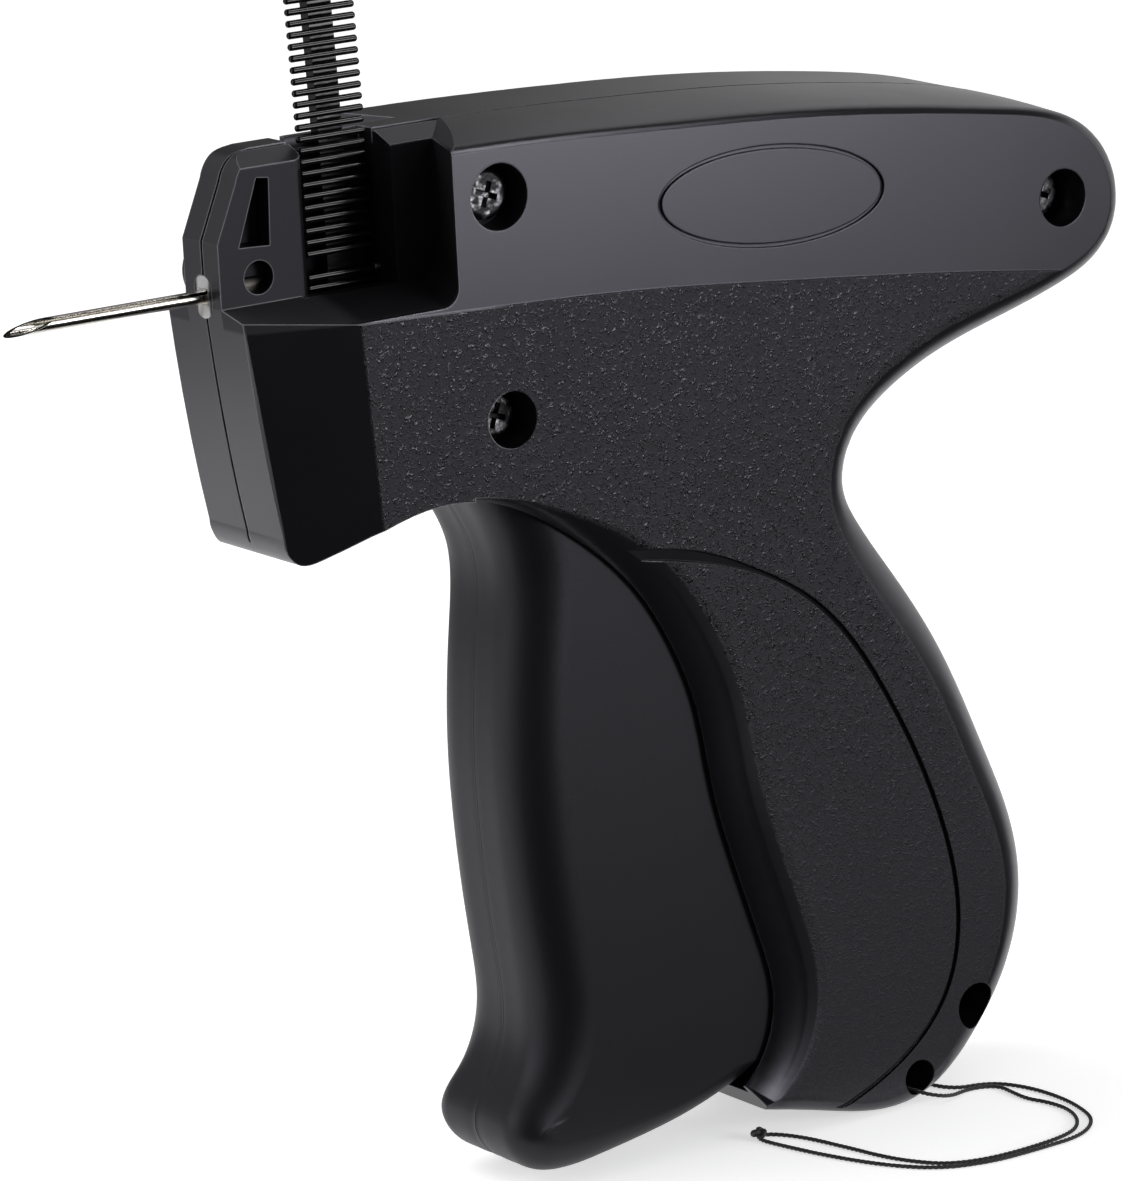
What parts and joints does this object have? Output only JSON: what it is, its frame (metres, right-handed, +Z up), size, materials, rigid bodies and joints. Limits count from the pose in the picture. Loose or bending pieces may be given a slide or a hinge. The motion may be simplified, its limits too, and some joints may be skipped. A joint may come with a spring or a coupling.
{
  "type": "garment tag attacher",
  "caption": "Hand-held tagging gun: a squeeze of the trigger drives a rod that pushes a plastic T-bar fastener through a hollow needle.",
  "frame": {"origin": "on the needle's axis where the needle leaves the nose", "axes": "-X the way the needle points, +Z up, +Y to the user's right; the shells part on y = 0"},
  "size_m": [0.139, 0.0476, 0.165],
  "materials": {
    "casing_plastic": "black ABS, fine spark-eroded grain below, smoother matt zone above",
    "trigger_plastic": "black ABS, smooth with a slight sheen",
    "inner_plastic": "natural acetal, self-lubricating",
    "fastener_plastic": "black polypropylene, moulded bright",
    "needle_steel": "bright polished hardened steel",
    "spring_steel": "drawn spring wire",
    "pin_steel": "ground steel",
    "screw_steel": "black oxide on steel",
    "knob_plastic": "black acetal",
    "lanyard_fibre": "black twisted polyester cord"
  },
  "bodies": {
    "casing": {"left_housing": "casing_plastic", "right_housing": "casing_plastic", "housing_screws": "screw_steel", "needle": "needle_steel", "needle_base": "needle_steel", "cutter_blade": "needle_steel", "feed_wheel_axle": "pin_steel", "stop_pawl": "spring_steel", "lever_pivot_pin": "pin_steel", "trigger_spring": "spring_steel", "lanyard_cord": "lanyard_fibre", "lanyard_knot": "lanyard_fibre"},
    "trigger": {"trigger": "trigger_plastic", "feed_pawl": "spring_steel"},
    "bell_crank": {"drive_lever": "inner_plastic", "lever_drive_pin": "pin_steel", "lever_crank_pin": "pin_steel"},
    "push_slider": {"slider": "inner_plastic", "ejector_rod": "pin_steel", "chambered_fastener": "fastener_plastic"},
    "strip": {"fastener_tbars": "fastener_plastic", "fastener_runner": "fastener_plastic"},
    "wheel": {"feed_wheel": "inner_plastic"},
    "needle_lock": {"needle_lock_knob": "knob_plastic"}
  },
  "joints": [
    {"name": "trigger_squeeze", "type": "hinge", "parent": "casing", "child": "trigger", "pos_m": [0.03, 0, -0.0163], "axis": [0, -1, 0], "range_deg": [0, 15], "stiffness_Nm_per_rad": 1.5, "springref_deg": -8.59, "deforming": ["trigger_spring"]},
    {"name": "bell_crank_turn", "type": "hinge", "parent": "casing", "child": "bell_crank", "pos_m": [0.0585, 0, -0.0335], "axis": [0, -1, 0], "range_deg": [0, 64]},
    {"name": "push_slide", "type": "slide", "parent": "casing", "child": "push_slider", "axis": [-1, 0, 0], "range_m": [0, 0.0407]},
    {"name": "strip_feed", "type": "slide", "parent": "casing", "child": "strip", "axis": [0, 0, -1], "range_m": [0, 0.00123]},
    {"name": "feed_wheel_turn", "type": "hinge", "parent": "casing", "child": "wheel", "pos_m": [0.017, 0.0053, -0.0135], "axis": [1, 0, 0], "range_deg": [0, 22.5]},
    {"name": "needle_lock_turn", "type": "hinge", "parent": "casing", "child": "needle_lock", "pos_m": [0.0048, 0.0047, 0.0018], "axis": [0, 1, 0], "range_deg": [0, 90]}
  ],
  "couplings": [
    {"joint": "bell_crank_turn", "follows": "trigger_squeeze", "ratio": 4.2667},
    {"joint": "push_slide", "follows": "trigger_squeeze", "m_per_rad": 0.15545},
    {"joint": "strip_feed", "follows": "trigger_squeeze", "m_per_rad": 0.0046982},
    {"joint": "feed_wheel_turn", "follows": "trigger_squeeze", "ratio": 1.5}
  ]
}
